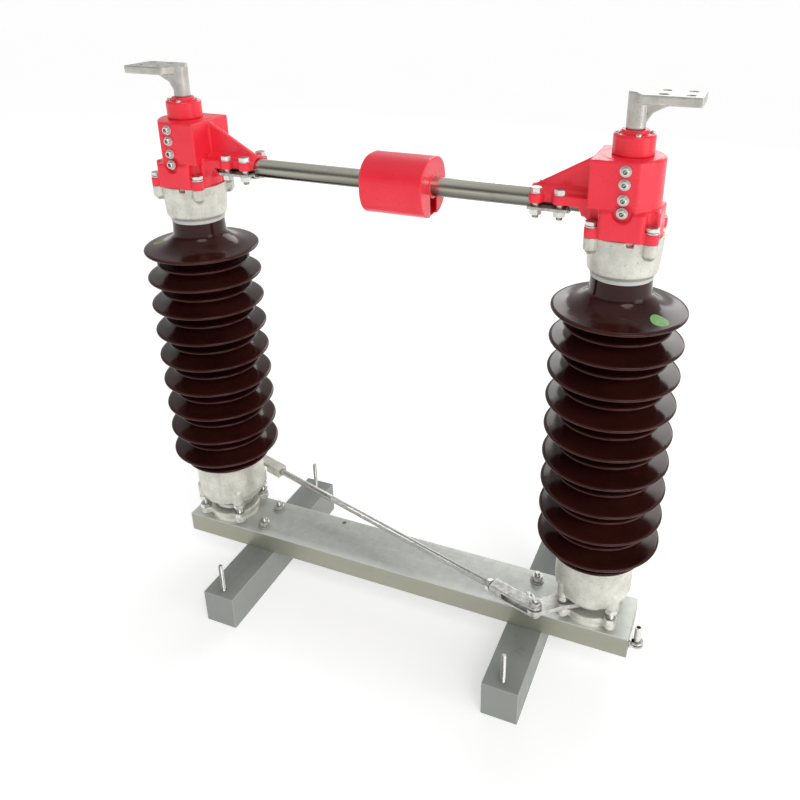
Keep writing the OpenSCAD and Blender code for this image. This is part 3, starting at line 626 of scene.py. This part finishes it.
def porcelain_post(side):
    """The post turned in one, its ends hidden in the flanges."""
    hidden, foot_r = 18, 54
    out = [(0.01, PORC_TOP + hidden), (CORE_R - 0.5, PORC_TOP + hidden), (CORE_R, PORC_TOP - 3),
           (CORE_R + 0.2, PORC_TOP - 12)]
    for i in range(2 * SHED_PAIRS):
        out += shed_outline(FIRST_SHED_Z - i * SHED_PAIR_PITCH / 2, SHED_R[i % 2], out[-1][1])
    out += [(foot_r, min(out[-1][1] - 0.6, PORC_Z + 4)), (foot_r, PORC_Z - hidden), (0.01, PORC_Z - hidden)]
    f = on_axis(side)
    f.lathe(out, 112)
    f.piece(side + "_porcelain", GLAZE, side + "_post", "porcelain", side + "_insulator", sharp=60)


def joint_putty(side):
    """The dark cement that shows where the porcelain enters its flanges."""
    f = on_axis(side)
    f.collar(41.6, 43.0, PORC_TOP - 5.5, PORC_TOP + 1.5, 0.5, 96)
    f.collar(53.0, 55.2, PORC_Z - 2, PORC_Z + 1.6, 0.6, 96)
    f.piece(side + "_joint_putty", PUTTY, side + "_post", "porcelain")


def flange_bolts(side):
    """Studs between the turntable and the lower flange, with a nut at each end."""
    lo, hi = mm_box(side + "_flange_studs")
    f = on_axis(side)
    for k, (x, y) in enumerate(flange_corners()):
        g = f.at(x, y)
        g.thread(12, lo.z, hi.z, M12_PITCH, tip=0)
        g.hexagon(flats=18, z0=lo.z + 0.2, z1=lo.z + 8.4, turn=0.4 * k)
        g.hexagon(flats=18, z0=hi.z - 8.4, z1=hi.z - 0.1, turn=0.2 + 0.5 * k, under=True)
    f.piece(side + "_flange_bolts", ZINC, side + "_post", "zinc", side + "_flange_studs")


def round_label(side, azimuth, size, colour):
    """A round label that lies on the upper slope of the top shed."""
    at_r, core, angle = 72, 43, math.radians(azimuth)
    rings = []
    for lift, grow in ((0.05, 1.0), (0.30, 0.995), (0.32, 0.8), (0.32, 0.4), (0.32, 0.05)):
        ring = []
        for t in steps_round(40):
            x, y = at_r + size * grow * math.cos(t), size * grow * math.sin(t)
            q, a = math.hypot(x, y), angle + math.atan2(y, x)
            z = shed_top(FIRST_SHED_Z, SHED_R[0], core, q) + lift
            ring.append((q * math.cos(a), q * math.sin(a), z))
        rings.append(ring)
    f = on_axis(side)
    f.rings(rings)
    f.piece(side + "_round_label", sticker(side + "_label", colour), side + "_post", "grey_paint")


for side in SIDES:
    post = side + "_post"
    cast(side + "_turntable", FLANGE, post, "cast_flange", voxel=1.5, passes=4, keep=0.4)
    softened(side + "_crank", ZINC, post, 0.9)
    cast(side + "_lower_flange", FLANGE, post, "cast_flange", voxel=1.5, passes=4, keep=0.55)
    cast(side + "_upper_flange", FLANGE, post, "cast_flange", voxel=1.3, passes=3, keep=0.55)
    flange_bolts(side)
    porcelain_post(side)
    joint_putty(side)

round_label("right", -33, 12.5, (0.20, 0.46, 0.13))
round_label("left", 205, 9, (0.30, 0.33, 0.05))


# ---------- heads and arms ----------

def head_bolts(side):
    """Four bolts down into the upper flange, and four screws with washers up the housing's flat face."""
    lug_top, house_flat = HEAD_Z + 14, 46
    f = handed(side)
    for k, (x, y) in enumerate(flange_corners()):
        g = f.at(x, y, lug_top)
        g.disc(r=9, z0=0, z1=2)
        g.disc(r=7.6, z0=2, z1=3.4)
        g.hexagon(flats=16, z0=3.2, z1=8.0, turn=0.5 * k)
    outward = Matrix.Rotation(math.pi / 2 * -SIGN[side], 4, "X")
    for rise in (38, 55, 75, 92):
        g = f.at(0, house_flat * SIGN[side], HEAD_Z + rise, outward)
        g.disc(r=7.5, z0=0, z1=1.6)
        g.disc(r=5.9, z0=1.5, z1=3.4, soft=0.5)
        g.lathe([(5.0, 3.2), (5.0, 5.6), (4.4, 6.4), (3.1, 6.5), (2.9, 6.2), (2.7, 4.0), (0.1, 4.0)], 28)
    f.piece(side + "_head_bolt_set", ZINC, side + "_post", "zinc", side + "_head_bolts")


def clamp_bolts(side):
    """Four bolts through the arm and the clamp under it."""
    along, across = (86, 119), 22
    f = handed(side)
    for k, (x, y) in enumerate((x, s * across) for x in along for s in (-1, 1)):
        g = f.at(x, y, TUBE_Z)
        g.disc(r=8.6, z0=13, z1=14.6, soft=0.3)
        g.hexagon(flats=15, z0=14.4, z1=20.5, turn=0.45 * k)
        g.hexagon(flats=15, z0=-17.0, z1=-9.0, turn=0.2 + 0.3 * k, under=True)
        g.at(turn=UPSIDE_DOWN).thread(10, 8, 22, M10_PITCH, tip=1.3)
        g.disc(r=4.9, z0=-10, z1=14, soft=0.2, n=20)
    f.piece(side + "_clamp_bolt_set", ZINC, side + "_post", "zinc", side + "_clamp_bolts")


def arm_tube(side):
    """The contact tube, from inside the head to its free end."""
    free_end = mm_box(side + "_tube")[side == "left"].x
    reach = abs(free_end - AXIS[side])
    bore = TUBE_R - TUBE_WALL
    f = handed(side)
    f.at(0, 0, TUBE_Z, TO_X).lathe([
        (bore, TUBE_START), (TUBE_R - 0.5, TUBE_START), (TUBE_R, TUBE_START + 0.5), (TUBE_R, reach - 0.6),
        (TUBE_R - 0.6, reach), (bore + 0.4, reach), (bore, reach - 0.5)], 64, loop=True)
    f.piece(side + "_arm_tube", TUBE, side + "_post", "contact_metal", side + "_tube")


def cap_screws(side):
    circle_r = 22
    f = on_axis(side)
    for a in (20, 110, 200, 290):
        g = f.at(circle_r * math.cos(math.radians(a)), circle_r * math.sin(math.radians(a)), CAP_TOP)
        g.lathe([(3.6, -0.2), (3.6, 1.6), (3.2, 2.5), (2.4, 3.0), (1.6, 3.0), (1.5, 1.2), (0.2, 1.2)], 24)
    f.piece(side + "_cap_screw_set", ZINC, side + "_post", "zinc", side + "_cap_screws")


def squarish(x, half_w, half_h, z):
    """The rain cover's section across the arm."""
    def blunt(v):
        return math.copysign(abs(v) ** 0.8, v)
    return [(x, half_w * blunt(math.cos(t)), z + half_h * blunt(math.sin(t))) for t in steps_round(96)]


def rain_cover():
    """The red cover over the contact, with a rolled lip at its open end and a sleeve round the tube."""
    cast("contact_cover", RED, "right_post", "red_enamel", voxel=1.1, passes=9, keep=0.6)
    lo, hi = mm_box("contact_cover")
    lip_r, inset = 2.3, 1.9
    half_w, half_h = (hi.y - lo.y) / 2 - inset, (hi.z - lo.z) / 2 - inset
    f = Form()
    f.pipe(squarish(lo.x + lip_r, half_w, half_h, (hi.z + lo.z) / 2), lip_r, 12, closed=True)
    f.at(0, 0, TUBE_Z, TO_X).collar(TUBE_R + 0.2, TUBE_R + 3.4, hi.x - 2.2, hi.x + 1.0, 0.5, 48)
    f.piece("cover_rims", RED, "right_post", "red_enamel")


for side in SIDES:
    post = side + "_post"
    cast(side + "_head", RED, post, "red_enamel", voxel=1.4, passes=5, keep=0.6)
    cast(side + "_rotor_cap", RED, post, "red_enamel", voxel=1.2, passes=3, keep=0.6)
    cast(side + "_tube_clamp", ZINC, post, "zinc", voxel=1.0, passes=2, keep=0.4)
    head_bolts(side)
    clamp_bolts(side)
    arm_tube(side)
    cap_screws(side)
    cast(side + "_terminal", ALU, side + "_terminal", "cast_aluminium", voxel=1.2, passes=3, keep=0.6)

softened("contact_blade", COPPER, "left_post", 0.8)
softened("contact_fingers", COPPER, "right_post", 0.6)
rain_cover()


# ---------- cross link ----------

RIGHT_PIN = joint_place("rod_turn")
LEFT_PIN = Vector((AXIS["left"] - 14.5, 113.3, RIGHT_PIN.z))
PIN_SPAN = (RIGHT_PIN - LEFT_PIN).length
ON_ROD = (Matrix.Translation(LEFT_PIN)
          @ Matrix.Rotation(math.atan2(RIGHT_PIN.y - LEFT_PIN.y, RIGHT_PIN.x - LEFT_PIN.x), 4, "Z"))


def cross_rod():
    """A plain rod with a neck and a threaded stretch, locked by a nut at the fork."""
    f = Form(ON_ROD)
    g = f.at(turn=TO_X)
    g.disc(r=6, z0=44, z1=208, n=36)
    g.disc(r=5.2, z0=200, z1=240, n=24)
    g.thread(11.8, 207, PIN_SPAN - 60, M12_PITCH, tip=0.5, n=16, rows_a_turn=5)
    g.hexagon(flats=18, z0=PIN_SPAN - 92, z1=PIN_SPAN - 84, turn=0.2, under=True)
    f.piece("cross_rod", ZINC, "link", "zinc", "link_rod")


def fork_pin():
    f = Form(ON_ROD).at(PIN_SPAN)
    f.disc(r=8, z0=-13.5, z1=-9.5, soft=0.5)
    f.thread(10, -10, 20.5, M10_PITCH, tip=1.2)
    f.disc(r=9.5, z0=9.5, z1=11.1, soft=0.3)
    f.hexagon(flats=16, z0=11, z1=17, turn=0.3)
    f.piece("fork_pin_set", ZINC, "link", "zinc", "fork_pin")


cross_rod()
cast("rod_eye", FLANGE, "link", "cast_flange", voxel=0.9, passes=3, keep=0.5)
cast("rod_fork", ZINC, "link", "cast_flange", voxel=0.9, passes=3, keep=0.5)
fork_pin()


# ---------- earthing terminal ----------

def earth_terminal():
    """An angle on the channel's end with a hollow bolt in a rounded tab, and a ring round its foot."""
    hi = mm_box("earth_terminal")[1]
    mid, z = middle("earth_terminal"), mm_box("earth_terminal")[0].z
    tab_r, ring_r = 10.5, 8.0
    x, y = hi.x - tab_r, mid.y
    f = Form()
    f.bar([(BEAM_END + 0.2, y, z + 2), (x - 4, y, z + 2), (x, y, z + 2)], 2 * tab_r, 4, 0.6)
    f.at(x, y).disc(r=tab_r, z0=z, z1=z + 4, soft=0.6, n=40)
    f.bar([(BEAM_END + 2, y, z), (BEAM_END + 2, y, z + 15.8)], 2 * tab_r, 4, 0.6, up=(1, 0, 0))
    f.at(x, y, z).lathe([(5.5, 3), (5.5, 36.4), (5.0, 37), (3.6, 37), (3.2, 36), (3.2, 26), (0.1, 26)], 28)
    ring = [(BEAM_END + 1.5, y - 17, z + 11), (BEAM_END + 5, y - 14, z + 6.8)]
    for a in range(-130, 135, 12):
        t = math.radians(a)
        ring.append((x + ring_r * math.cos(t), y + ring_r * math.sin(t), z + 6.6 + (a + 130) * 0.012))
    f.pipe(ring, 2.0, 12)
    f.piece("earthing_bolt_set", ZINC, "base", "zinc", "earth_terminal")


earth_terminal()


# ---------- floor, light and camera ----------

def floor():
    """A pale floor that glows a little, so that it stays as pale as the backdrop."""
    k = Look("pale_floor", IOR=1.3, Specular_IOR_Level=0.1,
             Emission_Color=(1, 1, 1, 1), Emission_Strength=0.43)
    tone = k.ramp(k.noise(1.5, 2), (0.3, 0.80), (0.7, 0.815))
    rough = k.ramp(k.noise(3, 2), (0.3, 0.6), (0.7, 0.65))
    bm = bmesh.new()
    bmesh.ops.create_circle(bm, cap_ends=True, radius=45, segments=96)
    obj = as_object(bm, "floor")
    obj.data.materials.append(k.finish(tone, rough, k.bump(k.noise(60, 2), 0.02, 0.001)))


def area(name, place, target, width, height, power):
    """A soft light that the camera doesn't see."""
    light = bpy.data.lights.new(name, "AREA")
    light.shape, light.size, light.size_y = "RECTANGLE", width, height
    light.energy = power
    obj = new_object(name, light)
    obj.location = place
    obj.visible_camera = False
    obj.rotation_euler = (Vector(target) - Vector(place)).to_track_quat("-Z", "Y").to_euler()


def sun(azimuth, elevation, strength, spread):
    light = bpy.data.lights.new("key", "SUN")
    light.energy, light.angle = strength, math.radians(spread)
    a, e = math.radians(azimuth), math.radians(elevation)
    toward = Vector((math.cos(a) * math.cos(e), math.sin(a) * math.cos(e), math.sin(e)))
    new_object("key", light).rotation_euler = toward.to_track_quat("Z", "Y").to_euler()


def world(strength):
    """Pale at the horizon, bright overhead and behind, dim in front, as in a hall with doors at its back."""
    sky = bpy.data.worlds.new("studio")
    bpy.context.scene.world = sky
    sky.use_nodes = True
    tree = sky.node_tree
    split = tree.nodes.new("ShaderNodeSeparateXYZ")
    tree.links.new(tree.nodes.new("ShaderNodeTexCoord").outputs["Generated"], split.inputs[0])
    backward, upward = split.outputs[1], split.outputs[2]
    behind = colour_ramp(tree, backward, ((0.0, 0.0), (0.55, 1.0)))
    dim = colour_ramp(tree, upward, ((0.0, 0.95), (0.10, 0.95), (0.20, 0.16), (0.50, 0.20), (0.85, 0.75)))
    bright = colour_ramp(tree, upward, ((0.0, 0.95), (0.30, 0.90), (0.60, 0.75), (0.90, 0.85)))
    mix = tree.nodes.new("ShaderNodeMix")
    mix.data_type = "RGBA"
    for slot, source in ((0, behind), (6, dim), (7, bright)):
        tree.links.new(source, mix.inputs[slot])
    tree.links.new(mix.outputs[2], tree.nodes["Background"].inputs[0])
    tree.nodes["Background"].inputs[1].default_value = strength


def camera():
    """The eye stands in front of the right post, a little above it, and looks down to the left."""
    cam = bpy.data.cameras.new("camera")
    cam.sensor_width, cam.lens = 36, 35.90
    cam.shift_x, cam.shift_y = -0.0465, -0.1204
    cam.clip_end = 200
    eye = new_object("camera", cam)
    eye.location = (0.500, -1.0285, 1.0979)
    tilt, lean, heading = 66.204, 0.264, 22.165
    eye.rotation_euler = [math.radians(a) for a in (tilt, lean, heading)]
    bpy.context.scene.camera = eye


floor()
world(0.76)
sun(azimuth=-49, elevation=44, strength=0.95, spread=34)
area("back_door", (0.3, 3.2, 2.1), (0, 0, 0.5), width=3.0, height=1.3, power=36)
area("right_window", (2.7, -0.5, 1.0), (0, 0, 0.5), width=1.3, height=1.5, power=13)
camera()
bpy.context.scene.view_settings.view_transform = "Standard"
